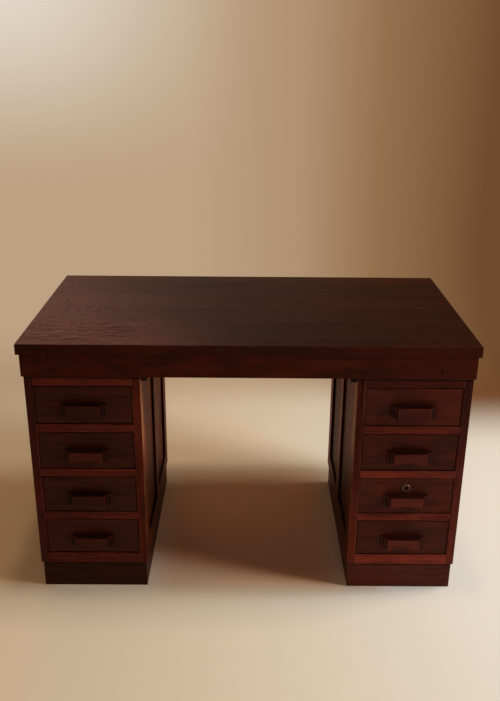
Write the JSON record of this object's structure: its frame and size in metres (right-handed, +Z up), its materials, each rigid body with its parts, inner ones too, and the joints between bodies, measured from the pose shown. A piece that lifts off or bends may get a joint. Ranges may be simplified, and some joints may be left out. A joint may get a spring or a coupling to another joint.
{
  "type": "twin pedestal writing desk",
  "caption": "Twin-pedestal kneehole desk in dark stained wood with sliding drawers, stepped wooden pulls, a drawer lock and framed side panels.",
  "frame": {"origin": "on the floor under the middle of the desk's overall outline, pulls included", "axes": "+X across the desk to the sitter's right, +Y from the drawer fronts to the back, +Z up"},
  "size_m": [1.25, 0.691, 0.775],
  "materials": {
    "top_wood": "satin stained wood",
    "frieze_wood": "satin stained wood",
    "rail_wood": "satin stained wood",
    "side_wood": "satin stained wood",
    "panel_wood": "satin stained wood",
    "front_wood": "satin stained wood",
    "pull_wood": "satin stained wood",
    "plinth_wood": "satin stained wood",
    "dark_wood": "matt stained wood",
    "drawer_wood": "bare planed wood",
    "inside_wood": "bare planed wood",
    "old_brass": "dull and tarnished",
    "steel": "dull"
  },
  "bodies": {
    "carcass": {"desk_top": "top_wood", "front_frieze": "frieze_wood", "rear_frieze": "frieze_wood", "side_friezes": "frieze_wood", "cross_bearers": "inside_wood", "locating_blocks": "dark_wood", "fixing_screws": "steel", "pedestal_top_boards": "inside_wood", "drawer_stops": "inside_wood", "left_outer_frame": "side_wood", "left_outer_panels": "panel_wood", "left_inner_frame": "side_wood", "left_inner_panels": "panel_wood", "left_back_panel": "panel_wood", "left_front_rails": "rail_wood", "left_drawer_runners": "inside_wood", "left_plinth": "plinth_wood", "right_outer_frame": "side_wood", "right_outer_panels": "panel_wood", "right_inner_frame": "side_wood", "right_inner_panels": "panel_wood", "right_back_panel": "panel_wood", "right_front_rails": "rail_wood", "right_drawer_runners": "inside_wood", "right_plinth": "plinth_wood"},
    "left_drawer_1": {"left_drawer_1_front": "front_wood", "left_drawer_1_box": "drawer_wood", "left_drawer_1_bottom": "drawer_wood", "left_drawer_1_pull": "pull_wood"},
    "left_drawer_2": {"left_drawer_2_front": "front_wood", "left_drawer_2_box": "drawer_wood", "left_drawer_2_bottom": "drawer_wood", "left_drawer_2_pull": "pull_wood"},
    "left_drawer_3": {"left_drawer_3_front": "front_wood", "left_drawer_3_box": "drawer_wood", "left_drawer_3_bottom": "drawer_wood", "left_drawer_3_pull": "pull_wood"},
    "left_drawer_4": {"left_drawer_4_front": "front_wood", "left_drawer_4_box": "drawer_wood", "left_drawer_4_bottom": "drawer_wood", "left_drawer_4_pull": "pull_wood"},
    "right_drawer_1": {"right_drawer_1_front": "front_wood", "right_drawer_1_box": "drawer_wood", "right_drawer_1_bottom": "drawer_wood", "right_drawer_1_pull": "pull_wood"},
    "right_drawer_2": {"right_drawer_2_front": "front_wood", "right_drawer_2_box": "drawer_wood", "right_drawer_2_bottom": "drawer_wood", "right_drawer_2_pull": "pull_wood"},
    "right_drawer_3": {"right_drawer_3_front": "front_wood", "right_drawer_3_box": "drawer_wood", "right_drawer_3_bottom": "drawer_wood", "right_drawer_3_pull": "pull_wood", "lock_escutcheon": "old_brass", "lock_case": "steel"},
    "right_drawer_4": {"right_drawer_4_front": "front_wood", "right_drawer_4_box": "drawer_wood", "right_drawer_4_bottom": "drawer_wood", "right_drawer_4_pull": "pull_wood"},
    "lock_bolt": {"lock_bolt": "old_brass"}
  },
  "joints": [
    {"name": "left_drawer_1_slide", "type": "slide", "parent": "carcass", "child": "left_drawer_1", "axis": [0, -1, 0], "range_m": [0, 0.44]},
    {"name": "left_drawer_2_slide", "type": "slide", "parent": "carcass", "child": "left_drawer_2", "axis": [0, -1, 0], "range_m": [0, 0.44]},
    {"name": "left_drawer_3_slide", "type": "slide", "parent": "carcass", "child": "left_drawer_3", "axis": [0, -1, 0], "range_m": [0, 0.44]},
    {"name": "left_drawer_4_slide", "type": "slide", "parent": "carcass", "child": "left_drawer_4", "axis": [0, -1, 0], "range_m": [0, 0.44]},
    {"name": "right_drawer_1_slide", "type": "slide", "parent": "carcass", "child": "right_drawer_1", "axis": [0, -1, 0], "range_m": [0, 0.44]},
    {"name": "right_drawer_2_slide", "type": "slide", "parent": "carcass", "child": "right_drawer_2", "axis": [0, -1, 0], "range_m": [0, 0.44]},
    {"name": "right_drawer_3_slide", "type": "slide", "parent": "carcass", "child": "right_drawer_3", "axis": [0, -1, 0], "range_m": [0, 0.44]},
    {"name": "right_drawer_4_slide", "type": "slide", "parent": "carcass", "child": "right_drawer_4", "axis": [0, -1, 0], "range_m": [0, 0.44]},
    {"name": "lock_bolt_slide", "type": "slide", "parent": "right_drawer_3", "child": "lock_bolt", "axis": [0, 0, 1], "range_m": [0, 0.0075]}
  ]
}
